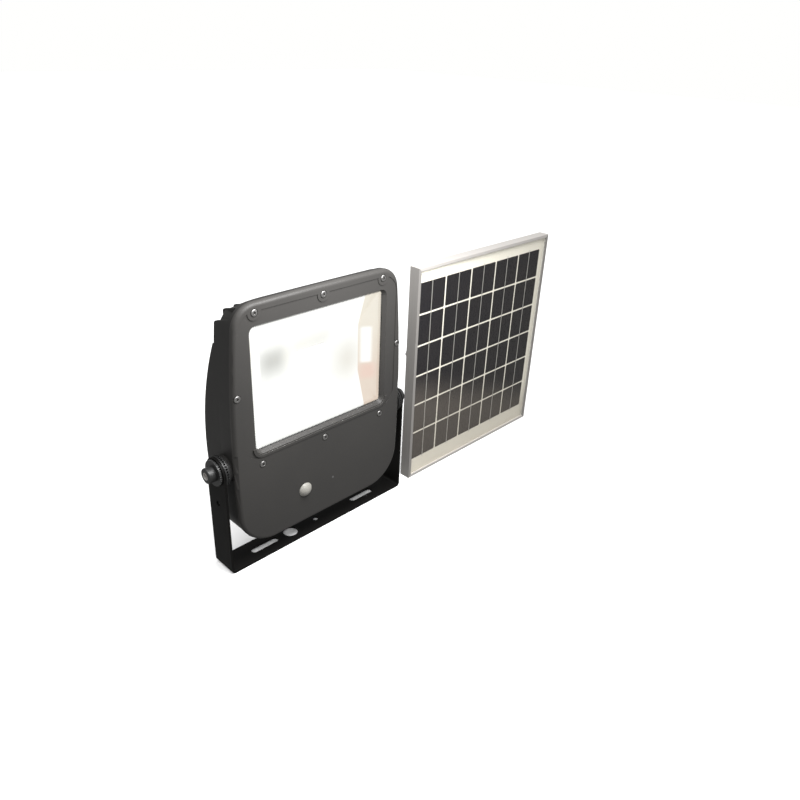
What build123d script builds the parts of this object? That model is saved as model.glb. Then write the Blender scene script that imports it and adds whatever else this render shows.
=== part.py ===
from build123d import *
import math
import os

# Solar flood light: a die-cast lamp tilting in a steel U-bracket, and its framed solar panel
# standing beside it. Millimetres. X runs to the right along the bracket, Y runs to the back
# and Z runs up. The origin is the middle of the underside of the bracket's base plate.

# ---- steel U-bracket ----
bracket_width = 300.0
strap_width = 38.0
strap_thickness = 3.0
bracket_bend = 6.0
pivot_height = 146.5
base_slot_spacing = 174.0
base_slot_length = 42.0
base_slot_width = 10.5
base_centre_hole = 8.5
cable_hole = 21.0
cable_hole_x = -44.0
arm_hole = 7.5
arm_hole_drop = 45.5

# ---- tilt pivot ----
pivot_bolt = 10.0
pivot_running = 0.08
pivot_head = 20.0
pivot_head_height = 10.0
pivot_socket = 8.0
pivot_socket_depth = 5.0
pivot_washer = 34.0
pivot_washer_thickness = 3.0
tooth_disc = 40.0
tooth_disc_thickness = 2.6
tooth_count = 36
tooth_depth = 1.1
tilt_gap = 0.3
pivot_boss = 35.0
pivot_boss_root = 16.0
pivot_boss_core = 17.0
pivot_thread_wall = 4.0

# ---- lamp outline, shared by the front cover, the gasket and the rear housing ----
lamp_bottom = 30.5
lamp_half_bottom = 131.5
lamp_half_belly = 136.0
lamp_half_top = 123.5
belly_height = 150.0
lamp_top_crown = 1.5
top_corner = 30.0
bottom_corner = 52.0

# ---- lamp depth, front to back ----
cover_front = -24.5
cover_depth = 6.5
cover_wall = 3.0
tray_back_wall = 3.5
tray_side_wall = 3.5
tray_set_in = 0.6
tray_back_corner = 46.0
flange_width = 9.0
flange_depth = 5.0
roof_drop = 15.0
back_edge_round = 3.0
cover_edge_round = 5.0

gasket_edge = 2.5
gasket_width = 2.0
gasket_depth = 1.2

# ---- window in the front cover ----
window_half = 102.8
window_rise = 17.7
window_height = 159.3
window_top_margin = 31.0
window_corner = 7.0
bezel_slope = 4.5
bezel_margin_side = 20.0
bezel_margin_top = 20.5
bezel_margin_low = 8.0
bezel_step = 1.0
bezel_corner = 24.0
screw_island = 9.0
glass_seat = 6.0
glass_thickness = 4.0
glass_gasket_thickness = 1.0
sill_rib = 3.2
sill_rib_proud = 0.8

# ---- cover screws ----
screw_shank = 4.0
screw_head = 8.6
screw_head_height = 2.4
screw_socket = 3.0
screw_socket_depth = 1.4
screw_recess_room = 0.6
screw_sink = 1.6
screw_length = 17.0
screw_boss = 11.0
top_screw_drop = 12.4
top_screw_x = 98.0
side_screw_inset = 6.3
side_screw_rise = 216.1

# ---- heat-sink fins on the back ----
fin_count = 17
fin_pitch = 14.0
fin_thickness = 3.0
cheek_inner_half = 118.0
cheek_top_drop = 26.0
fin_arc_radius = 400.0
fin_arc_rise = 137.5
fin_low_rise = 9.5
fin_high_rise = 272.5
fin_reach = 39.8
fin_stub_reach = 5.0
fin_stub_round = 4.0
fin_top_drop = 13.0
fin_corner_drop = 7.0
fin_top_slope = 0.31

# ---- optics ----
reflector_sheet = 0.9
reflector_flange_side = 8.5
reflector_rim_land = 1.8
reflector_fold_half_x = 78.0
reflector_fold_half_z = 33.0
reflector_fold_depth = 13.2
reflector_hole = 44.0
led_board = 60.0
led_board_thickness = 1.6
thermal_pad_thickness = 0.9
led_chip = 40.0
led_chip_thickness = 0.8
led_glow = 32.0
led_glow_thickness = 0.3
led_screw = 3.0
led_screw_head = 4.8
led_screw_head_height = 0.8
led_thread = 2.2
post_radius = 4.5
small_screw = 3.0
small_screw_head = 5.6
small_screw_head_height = 2.0

# ---- electronics in the lower half ----
cell_diameter = 18.4
cell_length = 65.0
cell_spacing = 1.0
stack_low_rise = 30.7
cells_per_stack = 4
stack_x = 84.0
stack_clearance = 3.7
battery_clearance = 2.9
tray_sheet = 1.2
strap_sheet = 1.0
strap_bar = 12.0
board_width = 76.0
board_height = 68.0
board_x = -10.0
board_rise = 67.5
board_thickness = 1.6
board_standoff = 12.5
standoff_radius = 3.5
standoff_inset = 5.0

# ---- motion sensor and indicator in the front ----
sensor_x = -34.5
sensor_rise = 50.5
sensor_lens = 20.0
sensor_lens_fit = 0.2
sensor_lens_bulge = 5.5
sensor_flange = 26.0
sensor_flange_thickness = 1.5
sensor_ring_thickness = 1.4
sensor_can = 9.2
sensor_can_height = 6.5
indicator_x = 12.6
indicator_rise = 49.5
indicator = 3.2

# ---- cable gland and vent plug at the back ----
gland_x = -38.0
gland_rise = 17.5
gland_thread = 16.0
gland_hex = 22.0
gland_hex_depth = 5.0
gland_dome_length = 14.0
gland_bore = 8.0
gland_nut_depth = 4.0
gland_pad = 30.0
vent_x = 45.0
vent_thread = 8.0
vent_cap = 14.0
vent_cap_depth = 4.0
vent_pad = 22.0

# ---- solar panel ----
panel_gap = 24.5
panel_width = 304.7
panel_height = 339.0
panel_depth = 17.2
panel_front = -15.3
rail_wall = 1.4
rail_lip = 5.0
rail_lip_wall = 1.2
rail_shelf = 7.0
rail_shelf_wall = 1.2
rail_flange = 14.0
rail_flange_wall = 1.4
laminate_room = 1.0
panel_glass_thickness = 3.2
ribbon_thickness = 0.15
cell_thickness = 0.25
backsheet_thickness = 0.5
sealant_thickness = 0.8
cell_columns = 5
cell_rows = 6
column_pitch = 57.5
row_pitch = 48.2
cell_gap = 2.8
cell_field_left = 6.5
cell_field_bottom = 29.1
cell_chamfer = 1.2
ribbon_width = 1.4
ribbon_overhang = 3.0
corner_key_leg = 22.0
corner_key_width = 3.5
frame_hole = 7.0
frame_hole_from_ends = 78.0

# ---- junction box on the panel's back ----
junction_width = 62.0
junction_height = 46.0
junction_depth = 9.6
junction_wall = 2.0
junction_lid_thickness = 2.0
junction_rise = 262.0
junction_gland = 10.0
junction_gland_length = 9.0

# ---- folding stay behind the panel ----
stay_rise = 205.0
crossbar_height = 25.0
crossbar_sheet = 2.0
crossbar_end_gap = 3.0
crossbar_bolt = 5.0
crossbar_bolt_flats = 8.0
crossbar_bolt_head = 3.5
crossbar_bolt_tail = 4.5
ear_sheet = 2.0
ear_reach = 13.5
ear_radius = 7.0
stay_width = 26.0
stay_side_gap = 0.3
stay_sheet = 1.8
stay_axle = 6.0
stay_bolt_flats = 10.0
stay_bolt_head = 4.0
wing_hub = 10.0
wing_hub_length = 5.0
wing_sheet = 2.0
wing_width = 5.0
wing_reach = 12.0
stay_running = 0.08
stay_axle_back = 7.5
stay_tip_radius = 6.0
stay_length = 176.0
stay_foot = 30.0
stay_foot_hole = 6.5
stay_foot_hole_spacing = 14.0

# ---- places worked out from the sizes above ----
cell_pitch = cell_diameter + cell_spacing
stack_height = cells_per_stack * cell_pitch
low_screw_rise = stack_low_rise + stack_height + stack_clearance + screw_boss / 2
window_low = low_screw_rise + window_rise
lamp_height = window_low + window_height + window_top_margin
tray_depth = tray_back_wall + tray_sheet + cell_diameter + strap_sheet + battery_clearance
lamp_top = lamp_bottom + lamp_height
cover_back = cover_front + cover_depth
tray_back = cover_back + tray_depth
tray_floor = tray_back - tray_back_wall
belly_z = lamp_bottom + belly_height
arm_inner = bracket_width / 2 - strap_thickness
arm_outer = bracket_width / 2
window_z0 = lamp_bottom + window_low
window_z1 = window_z0 + window_height
window_z = (window_z0 + window_z1) / 2
bezel_face = cover_front + bezel_step
glass_front = cover_back + glass_gasket_thickness
glass_back = glass_front + glass_thickness
stack_z = lamp_bottom + stack_low_rise + stack_height / 2
board_z = lamp_bottom + board_rise
board_back = tray_floor - board_standoff
board_front = board_back - board_thickness
sensor_z = lamp_bottom + sensor_rise
indicator_z = lamp_bottom + indicator_rise
gland_z = lamp_bottom + gland_rise
led_board_back = tray_floor - thermal_pad_thickness
led_board_front = led_board_back - led_board_thickness
chip_front = led_board_front - led_chip_thickness
panel_left = arm_outer + panel_gap
panel_right = panel_left + panel_width
panel_middle = (panel_left + panel_right) / 2
panel_back = panel_front + panel_depth
laminate_front = panel_front + rail_lip_wall
ribbon_front = laminate_front + panel_glass_thickness
cell_front = ribbon_front + ribbon_thickness
cell_back = cell_front + cell_thickness
backsheet_back = cell_back + backsheet_thickness
shelf_front = backsheet_back + sealant_thickness
crossbar_back = panel_back + crossbar_sheet
stay_axle_y = crossbar_back + stay_axle_back


def side_half_width(z):
    """Half width of the lamp outline at height z, on the arc through its three widths."""
    low_x, low_z = lamp_half_bottom, lamp_bottom
    mid_x, mid_z = lamp_half_belly, belly_z
    top_x, top_z = lamp_half_top, lamp_top
    low_part = low_x * (z - mid_z) * (z - top_z) / ((low_z - mid_z) * (low_z - top_z))
    mid_part = mid_x * (z - low_z) * (z - top_z) / ((mid_z - low_z) * (mid_z - top_z))
    top_part = top_x * (z - low_z) * (z - mid_z) / ((top_z - low_z) * (top_z - mid_z))
    return low_part + mid_part + top_part


side_screw_z = lamp_bottom + side_screw_rise
side_screw_x = side_half_width(side_screw_z) - side_screw_inset
low_screw_z = lamp_bottom + low_screw_rise
top_screw_z = lamp_top - top_screw_drop
top_screws = [(-top_screw_x, top_screw_z), (0.0, top_screw_z), (top_screw_x, top_screw_z)]
side_screws = [(-side_screw_x, side_screw_z), (side_screw_x, side_screw_z)]
low_screws = [(-top_screw_x, low_screw_z), (0.0, low_screw_z), (top_screw_x, low_screw_z)]
cover_screw_places = top_screws + side_screws + low_screws


# ---- shapes used by several pieces ----
def block(x0, x1, y0, y1, z0, z1):
    """Box between two corners."""
    centre = Pos((x0 + x1) / 2, (y0 + y1) / 2, (z0 + z1) / 2)
    return centre * Box(x1 - x0, y1 - y0, z1 - z0)


def rod_x(radius, x0, x1, y, z):
    """Round bar along X."""
    return Pos((x0 + x1) / 2, y, z) * Rot(0, 90, 0) * Cylinder(radius, abs(x1 - x0))


def rod_y(radius, y0, y1, x, z):
    """Round bar along Y."""
    return Pos(x, (y0 + y1) / 2, z) * Rot(90, 0, 0) * Cylinder(radius, abs(y1 - y0))


def plate(outline, y0, y1):
    """Outline drawn in X and Z, made solid from y0 to y1."""
    return Pos(0, y1, 0) * Rot(90, 0, 0) * extrude(outline, amount=y1 - y0)


def hexagon_y(across_flats, y0, y1, x, z):
    """Hexagonal bar along Y."""
    outline = Pos(x, z) * RegularPolygon(across_flats / 2, 6, major_radius=False)
    return plate(outline, y0, y1)


def hexagon_x(across_flats, x0, x1, y, z):
    """Hexagonal bar along X."""
    outline = RegularPolygon(across_flats / 2, 6, major_radius=False)
    return Pos(x0, y, z) * Rot(0, 90, 0) * extrude(outline, amount=x1 - x0)


def rounded_pane(half_x, z0, z1, corner, inset=0.0):
    """Rounded rectangle drawn in X and Z, centred on X."""
    radius = max(corner - inset, 0.5)
    shape = RectangleRounded(2 * (half_x - inset), z1 - z0 - 2 * inset, radius)
    return Pos(0, (z0 + z1) / 2) * shape


def lamp_outline(inset=0.0, upper_corner=top_corner):
    """The lamp's front outline: bulging sides, crowned top, tighter corners at the top."""
    low = lamp_bottom + inset
    high = lamp_top - lamp_top_crown - inset
    bottom_half = lamp_half_bottom - inset
    belly_half = lamp_half_belly - inset
    top_half = lamp_half_top - inset
    right = ThreePointArc((bottom_half, low), (belly_half, belly_z), (top_half, high))
    top = ThreePointArc((top_half, high), (0, high + lamp_top_crown), (-top_half, high))
    left = ThreePointArc((-top_half, high), (-belly_half, belly_z), (-bottom_half, low))
    bottom = Line((-bottom_half, low), (bottom_half, low))
    outline = make_face(right + top + left + bottom)
    outline = fillet(outline.vertices().group_by(Axis.Y)[0], bottom_corner - inset)
    return fillet(outline.vertices().group_by(Axis.Y)[-1], upper_corner - inset)


def socket_screw(x, z, head_back, head, head_height, shank, length, socket, socket_depth):
    """Button-head screw along Y, its head towards the front."""
    cap = rod_y(head / 2, head_back - head_height, head_back, x, z)
    cap = fillet(cap.edges().group_by(Axis.Y)[0], head_height * 0.45)
    front = head_back - head_height
    body = cap + rod_y(shank / 2, head_back, head_back + length, x, z)
    return body - hexagon_y(socket, front - 1, front + socket_depth, x, z)


# ---- bracket body ----
def build_bracket():
    """U-shaped steel strap with rounded arm ends, slots, a cable hole and pivot bores."""
    top = pivot_height + strap_width / 2
    outer = Pos(0, top / 2) * Rectangle(bracket_width, top)
    outer = fillet(outer.vertices().group_by(Axis.Y)[0], bracket_bend)
    inner_width = bracket_width - 2 * strap_thickness
    inner = Pos(0, (top + strap_thickness) / 2) * Rectangle(inner_width, top - strap_thickness)
    inner = fillet(inner.vertices().group_by(Axis.Y)[0], bracket_bend - strap_thickness)
    strap = plate(outer - inner, -strap_width / 2, strap_width / 2)
    reach = bracket_width / 2 + 1
    above = block(-reach, reach, -strap_width, strap_width, pivot_height, top + 1)
    strap -= above - rod_x(strap_width / 2, -reach, reach, 0, pivot_height)
    strap -= rod_x(pivot_bolt / 2 + pivot_running, -reach, reach, 0, pivot_height)
    strap -= rod_x(arm_hole / 2, -reach, reach, 0, pivot_height - arm_hole_drop)
    for side in (-1, 1):
        slot = SlotOverall(base_slot_length, base_slot_width)
        strap -= Pos(side * base_slot_spacing / 2, 0, -1) * extrude(slot, amount=strap_thickness + 2)
    centre = Cylinder(base_centre_hole / 2, strap_thickness * 4)
    strap -= centre
    strap -= Pos(cable_hole_x, 0, 0) * Cylinder(cable_hole / 2, strap_thickness * 4)
    return strap


def toothed_disc(x_back, x_teeth):
    """Locking disc on the tilt axis, with radial teeth cut into the face at x_teeth."""
    disc = rod_x(tooth_disc / 2, min(x_back, x_teeth), max(x_back, x_teeth), 0, pivot_height)
    direction = 1 if x_teeth > x_back else -1
    root = pivot_bolt / 2 + 5
    cut_width = math.pi * tooth_disc / tooth_count * 0.5
    groove = Box(tooth_depth * 2, tooth_disc / 2 - root + 2, cut_width)
    reach = (root + tooth_disc / 2 + 2) / 2
    cutters = []
    for index in range(tooth_count):
        turn = Rot(index * 360 / tooth_count, 0, 0)
        cutters.append(Pos(x_teeth, 0, pivot_height) * turn * Pos(0, reach, 0) * groove)
    disc -= cutters
    bore = rod_x(pivot_bolt / 2 + pivot_running, x_back - direction, x_teeth + direction, 0, pivot_height)
    return disc - bore


disc_gap_x = arm_inner - tooth_disc_thickness - tilt_gap
boss_face_x = disc_gap_x - tooth_disc_thickness


def build_arm_discs():
    """Toothed discs riveted to the inner face of each bracket arm."""
    teeth = arm_inner - tooth_disc_thickness
    return [toothed_disc(side * arm_inner, side * teeth) for side in (-1, 1)]


def build_lamp_discs():
    """Matching toothed discs on the lamp's side bosses."""
    return [toothed_disc(side * boss_face_x, side * disc_gap_x) for side in (-1, 1)]


def build_pivot_bolts():
    """Two socket-head bolts on which the lamp tilts, screwed into its side bosses."""
    washer_face = arm_outer + tilt_gap + pivot_washer_thickness
    bolts = []
    for side in (-1, 1):
        head_face = washer_face + pivot_head_height
        head = rod_x(pivot_head / 2, washer_face, head_face, 0, pivot_height)
        head = fillet(head.edges().group_by(Axis.X)[-1], 1.5)
        tip = boss_face_x - pivot_boss_root + pivot_thread_wall
        shank = rod_x(pivot_bolt / 2, tip, washer_face, 0, pivot_height)
        socket = hexagon_x(pivot_socket, head_face - pivot_socket_depth, head_face + 1, 0, pivot_height)
        bolt = head + shank - socket
        bolts.append(bolt if side > 0 else mirror(bolt, Plane.YZ))
    return bolts


def build_pivot_washers():
    """Broad washers with a knurled rim under the pivot bolts' heads."""
    washers = []
    for side in (-1, 1):
        near = side * (arm_outer + tilt_gap)
        far = side * (arm_outer + tilt_gap + pivot_washer_thickness)
        washer = rod_x(pivot_washer / 2, near, far, 0, pivot_height)
        notches = []
        for index in range(tooth_count):
            turn = Rot(index * 360 / tooth_count, 0, 0)
            spot = Pos((near + far) / 2, 0, pivot_height) * turn * Pos(0, pivot_washer / 2, 0)
            notches.append(spot * Rot(0, 90, 0) * Cylinder(0.6, pivot_washer_thickness + 1))
        washer -= notches
        washers.append(washer - rod_x(pivot_bolt / 2, near - side, far + side, 0, pivot_height))
    return washers


# ---- lamp body ----
def build_front_cover():
    """Die-cast front cover with the window, a stepped bezel and eight screw recesses."""
    cover = plate(lamp_outline(), cover_front, cover_back)
    cover = fillet(cover.edges().group_by(Axis.Y)[0], cover_edge_round)
    bezel_half = window_half + bezel_margin_side
    bezel = rounded_pane(bezel_half, window_z0 - bezel_margin_low, window_z1 + bezel_margin_top, bezel_corner)
    for x, z in top_screws:
        bezel -= Pos(x, z) * Circle(screw_island)
    cover -= plate(bezel, cover_front - 5, bezel_face)
    rib_half = window_half + bezel_slope + sill_rib
    rib_low = window_z0 - bezel_slope - sill_rib
    rib = rounded_pane(rib_half, rib_low, window_z1, window_corner + bezel_slope + sill_rib)
    rib_inner = rounded_pane(rib_half, rib_low, window_z1, window_corner + bezel_slope + sill_rib, sill_rib)
    rib -= rib_inner
    rib &= Pos(0, rib_low) * Rectangle(3 * rib_half, 2 * (sill_rib + window_corner + bezel_slope))
    cover += plate(rib, cover_front - sill_rib_proud, cover_back)
    at_glass = rounded_pane(window_half, window_z0, window_z1, window_corner)
    at_front = rounded_pane(window_half, window_z0, window_z1, window_corner, -bezel_slope)
    taper = loft([
        Pos(0, cover_back, 0) * Rot(90, 0, 0) * at_glass,
        Pos(0, cover_front - sill_rib_proud, 0) * Rot(90, 0, 0) * at_front,
    ])
    cover -= taper
    pocket = rounded_pane(lamp_half_bottom - flange_width, lamp_bottom + flange_width + 8,
                          low_screw_z - screw_boss, 30.0)
    cover -= plate(pocket, cover_front + cover_wall, cover_back + 1)
    for x, z in cover_screw_places:
        recess = screw_head / 2 + screw_recess_room
        cover -= rod_y(recess, cover_front - 2, cover_front + screw_sink, x, z)
        cover -= rod_y(screw_shank / 2, cover_front, cover_back + 1, x, z)
    hole = sensor_lens / 2 + sensor_lens_fit
    cover -= rod_y(hole, cover_front - 1, cover_back, sensor_x, sensor_z)
    cover -= rod_y(indicator / 2, cover_front - 1, cover_back, indicator_x, indicator_z)
    return cover


def corner_height(x):
    """Height of the lamp's outline above x, round its top corners."""
    beyond = max(abs(x) - (lamp_half_top - top_corner), 0.0)
    return lamp_top - top_corner + math.sqrt(top_corner ** 2 - beyond ** 2)


def fin_arc_y(z):
    """Depth of the fins' long rear arc at height z."""
    off_middle = z - lamp_bottom - fin_arc_rise
    return fin_reach - fin_arc_radius + math.sqrt(fin_arc_radius ** 2 - off_middle ** 2)


def fin_profile(top):
    """Side view of one fin, in Y and Z: a long arc, then a rounded stub sloping to the back."""
    low = lamp_bottom + fin_low_rise
    high = lamp_bottom + fin_high_rise
    root = cover_back + flange_depth
    stub = tray_back + fin_stub_reach
    crest = top + fin_top_slope * (stub - root)
    middle = lamp_bottom + fin_arc_rise
    arc = ThreePointArc((fin_arc_y(low), low), (fin_reach, middle), (fin_arc_y(high), high))
    rest = Polyline((fin_arc_y(high), high), (stub, high), (stub, top), (root, crest), (root, low),
                    (fin_arc_y(low), low))
    profile = make_face(arc + rest)
    corner = [v for v in profile.vertices() if abs(v.X - stub) < 0.01 and abs(v.Y - top) < 0.01]
    return fillet(corner, fin_stub_round)


def across(profile, x0, x1):
    """Outline drawn in Y and Z, made solid from x0 to x1."""
    return Pos(x0, 0, 0) * Rot(0, 0, 90) * Rot(90, 0, 0) * extrude(profile, amount=x1 - x0)


def roof_wedge(lowered):
    """Space above the housing's roof, which slopes down to the back, lowered by a wall."""
    start = cover_back + flange_depth
    high = lamp_top - lowered
    slope = roof_drop / (tray_back - start)
    far = tray_back + fin_reach
    side = Polyline((start, high), (far, high - slope * (far - start)), (far, lamp_top + 5),
                    (start, lamp_top + 5), close=True)
    return across(make_face(side), -lamp_half_belly, lamp_half_belly)


def build_tray_block():
    """The housing's outer shape: a flange, then a body with rounder top corners and a sloping roof."""
    flange_back = cover_back + flange_depth
    body = plate(lamp_outline(tray_set_in, tray_back_corner), flange_back, tray_back)
    body -= roof_wedge(tray_set_in)
    body = fillet(body.edges().group_by(Axis.Y)[-1], back_edge_round)
    return body + plate(lamp_outline(tray_set_in), cover_back, flange_back)


def main_solid(shape):
    """The largest solid of a trimmed shape, without any sliver that the trimming left."""
    return max(shape.solids(), key=lambda solid: solid.volume)


def build_fins():
    """Upright fins on the housing's back, and two cheeks that carry its sides on to the back."""
    front = cover_back + flange_depth
    far = tray_back + fin_reach
    room = [rod_y(gland_pad / 2, tray_floor, far, gland_x, gland_z)]
    room.append(rod_y(vent_pad / 2, tray_floor, far, vent_x, gland_z))
    room.append(build_tray_block())
    room += build_pivot_bosses()
    clip = plate(lamp_outline(tray_set_in), front, far)
    fins = []
    for index in range(fin_count):
        x = (index - (fin_count - 1) / 2) * fin_pitch
        outer = abs(x) + fin_thickness / 2
        top = min(lamp_top - fin_top_drop, corner_height(outer) - fin_corner_drop)
        sheet = across(fin_profile(top), x - fin_thickness / 2, x + fin_thickness / 2)
        fins.append(main_solid((sheet & clip) - room))
    ring = clip - plate(lamp_outline(tray_set_in + fin_thickness), front, far)
    cheek_profile = fin_profile(lamp_top - cheek_top_drop)
    for low_x, high_x in ((-lamp_half_belly, -cheek_inner_half), (cheek_inner_half, lamp_half_belly)):
        fins.append(main_solid((across(cheek_profile, low_x, high_x) & ring) - room))
    return fins


def build_screw_bosses():
    """Round bosses for the cover's screws; the two at the sides run out to the wall."""
    within = build_tray_block()
    bosses = []
    for x, z in cover_screw_places:
        boss = rod_y(screw_boss / 2, cover_back, tray_floor + 1, x, z)
        if (x, z) in side_screws:
            far = math.copysign(lamp_half_belly, x)
            boss += block(min(x, far), max(x, far), cover_back, tray_floor + 1,
                          z - screw_boss / 2, z + screw_boss / 2)
            boss &= within
        bosses.append(boss)
    return bosses


def build_pivot_bosses():
    """Side bosses that carry the toothed discs, with a core for the pivot thread."""
    outer_wall = side_half_width(pivot_height) - tray_set_in - tray_side_wall
    bosses = []
    for side in (-1, 1):
        face = side * boss_face_x
        boss = rod_x(pivot_boss / 2, side * outer_wall, face, 0, pivot_height)
        boss += rod_x(pivot_boss_core / 2, face - side * pivot_boss_root, face, 0, pivot_height)
        bosses.append(boss)
    return bosses


def build_rear_housing():
    """Die-cast tray with screw bosses, pivot bosses and posts for what it holds."""
    tray = build_tray_block()
    tray -= plate(lamp_outline(tray_set_in + flange_width), cover_back - 1, cover_back + flange_depth)
    inside = lamp_outline(tray_set_in + tray_side_wall, tray_back_corner)
    cavity = plate(inside, cover_back + flange_depth, tray_floor)
    tray -= cavity - roof_wedge(tray_set_in + tray_side_wall)
    tray += [boss - roof_wedge(tray_set_in) for boss in build_screw_bosses()]
    tray += build_pivot_bosses()
    posts = [rod_y(post_radius, glass_back + reflector_sheet, tray_floor + 1, x, z)
             for x, z in reflector_posts()]
    posts += [rod_y(standoff_radius, board_back, tray_floor + 1, x, z) for x, z in board_posts()]
    tray += posts
    screw_tip = cover_front + screw_sink + screw_length
    holes = [rod_y(screw_shank / 2, cover_back - 1, screw_tip, x, z) for x, z in cover_screw_places]
    holes += [rod_y(small_screw / 2, cover_back, tray_floor - 1, x, z)
              for x, z in reflector_posts() + board_posts()]
    holes += [rod_y(led_screw / 2, tray_floor - 1, tray_floor + led_thread, x, z)
              for x, z in led_screw_places()]
    for side in (-1, 1):
        deep = side * (boss_face_x - pivot_boss_root + pivot_thread_wall)
        holes.append(rod_x(pivot_bolt / 2, deep, side * (boss_face_x + 1), 0, pivot_height))
    holes.append(rod_y(gland_thread / 2, tray_floor - 1, tray_back + 1, gland_x, gland_z))
    holes.append(rod_y(vent_thread / 2, tray_floor - 1, tray_back + 1, vent_x, gland_z))
    tray -= holes
    return tray - plate(gasket_groove(), cover_back - 1, cover_back + gasket_depth)


def gasket_groove():
    """Closed groove in the housing's rim, outside the cover's screws where there is room."""
    outer = lamp_outline(tray_set_in + gasket_edge)
    return outer - lamp_outline(tray_set_in + gasket_edge + gasket_width)


def build_body_gasket():
    """Silicone seal lying in the groove round the housing's rim."""
    ring = plate(gasket_groove(), cover_back, cover_back + gasket_depth)
    for x, z in cover_screw_places:
        ring -= rod_y(screw_shank / 2 + 0.3, cover_back - 1, cover_back + 2, x, z)
    return ring


def build_cover_screws():
    """Eight button-head screws that hold the front cover."""
    screws = []
    for x, z in cover_screw_places:
        seat = cover_front + screw_sink
        screws.append(socket_screw(x, z, seat, screw_head, screw_head_height, screw_shank,
                                   screw_length, screw_socket, screw_socket_depth))
    return screws


def build_window_glass():
    """Tempered glass pane behind the window."""
    outline = rounded_pane(window_half, window_z0, window_z1, window_corner, -glass_seat)
    return plate(outline, glass_front, glass_back)


def build_glass_gasket():
    """Flat seal between the cover and the glass, all round the window."""
    outer = rounded_pane(window_half, window_z0, window_z1, window_corner, -glass_seat)
    inner = rounded_pane(window_half, window_z0, window_z1, window_corner, -0.6)
    return plate(outer - inner, cover_back, glass_front)


def reflector_posts():
    """Where four screws hold the reflector's flange, and the glass with it."""
    x = window_half + glass_seat + reflector_flange_side / 2 + 0.4
    rise = window_height / 3
    return [(side * x, window_z + up * rise) for side in (-1, 1) for up in (-1, 1)]


def reflector_stage(half_x, half_z, y):
    """One rectangle of the reflector, at depth y."""
    outline = Pos(0, window_z) * Rectangle(2 * half_x, 2 * half_z)
    return Pos(0, y, 0) * Rot(90, 0, 0) * outline


def build_reflector():
    """Pressed aluminium reflector: a flange, steep outer walls and a shallow inner stage."""
    rim_x = window_half - reflector_rim_land
    rim_z = window_height / 2 - reflector_rim_land
    fold_y = glass_back + reflector_fold_depth
    hole = reflector_hole / 2
    floor_y = led_board_front - reflector_sheet
    skin = reflector_sheet
    outer = loft([reflector_stage(rim_x + skin, rim_z + skin, glass_back),
                  reflector_stage(reflector_fold_half_x + skin, reflector_fold_half_z + skin, fold_y + skin)],
                 ruled=True)
    outer += loft([reflector_stage(reflector_fold_half_x + skin, reflector_fold_half_z + skin, fold_y + skin),
                   reflector_stage(hole + skin, hole + skin, floor_y + skin)], ruled=True)
    inner = loft([reflector_stage(rim_x, rim_z, glass_back),
                  reflector_stage(reflector_fold_half_x, reflector_fold_half_z, fold_y)], ruled=True)
    inner += loft([reflector_stage(reflector_fold_half_x, reflector_fold_half_z, fold_y),
                   reflector_stage(hole, hole, floor_y)], ruled=True)
    opening = Pos(0, window_z) * Rectangle(2 * hole, 2 * hole)
    shell = outer - inner - plate(opening, floor_y - 1, floor_y + skin + 1)
    half_flange = window_half + glass_seat + reflector_flange_side
    flange = rounded_pane(half_flange, window_z0 - glass_seat, window_z1 + glass_seat, window_corner)
    mouth = Pos(0, window_z) * Rectangle(2 * rim_x, 2 * rim_z)
    flange_plate = plate(flange, glass_back, glass_back + skin)
    reflector = flange_plate - plate(mouth, glass_back - 1, glass_back + skin + 1)
    reflector += shell
    reflector -= inner
    for x, z in reflector_posts():
        reflector -= rod_y(small_screw / 2, glass_back - 1, glass_back + 5, x, z)
    return reflector


def build_reflector_screws():
    """Four pan-head screws with broad heads that also clamp the reflector's flange."""
    screws = []
    for x, z in reflector_posts():
        head = rod_y(small_screw_head / 2, glass_back - small_screw_head_height, glass_back, x, z)
        screws.append(head + rod_y(small_screw / 2, glass_back, glass_back + 9, x, z))
    return screws


def led_screw_places():
    """Where four screws hold the LED board."""
    reach = led_board / 2 - 3.6
    return [(side * reach, window_z + up * reach) for side in (-1, 1) for up in (-1, 1)]


def build_led_board():
    """Aluminium-core LED board."""
    board = plate(Pos(0, window_z) * RectangleRounded(led_board, led_board, 2), led_board_front, led_board_back)
    for x, z in led_screw_places():
        board -= rod_y(led_screw / 2, led_board_front - 1, led_board_back + 1, x, z)
        sunk = led_board_front + led_screw_head_height
        board -= rod_y(led_screw_head / 2, led_board_front - 1, sunk, x, z)
    return board


def build_thermal_pad():
    """Heat-conducting pad between the LED board and the housing."""
    pad = plate(Pos(0, window_z) * RectangleRounded(led_board, led_board, 2), led_board_back, tray_floor)
    for x, z in led_screw_places():
        pad -= rod_y(led_screw / 2, led_board_back - 1, tray_floor + 1, x, z)
    return pad


def build_led_chip():
    """Chip-on-board LED carrier, with a sunk place for the phosphor."""
    chip = plate(Pos(0, window_z) * RectangleRounded(led_chip, led_chip, 1), chip_front, led_board_front)
    return chip - plate(Pos(0, window_z) * RectangleRounded(led_glow, led_glow, 3),
                        chip_front - 1, chip_front + led_glow_thickness)


def build_led_glow():
    """Yellow phosphor field of the LED."""
    return plate(Pos(0, window_z) * RectangleRounded(led_glow, led_glow, 3),
                 chip_front, chip_front + led_glow_thickness)


def build_led_screws():
    """Four sunk screws that press the LED board on to the housing, under the reflector."""
    screws = []
    for x, z in led_screw_places():
        sunk = led_board_front + led_screw_head_height
        head = rod_y(led_screw_head / 2, led_board_front, sunk, x, z)
        shank = rod_y(led_screw / 2, sunk, tray_floor + led_thread, x, z)
        screws.append(head + shank)
    return screws


def stack_centres():
    """Heights of the battery cells in one stack."""
    first = stack_z - (cells_per_stack - 1) * cell_pitch / 2
    return [first + index * cell_pitch for index in range(cells_per_stack)]


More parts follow.
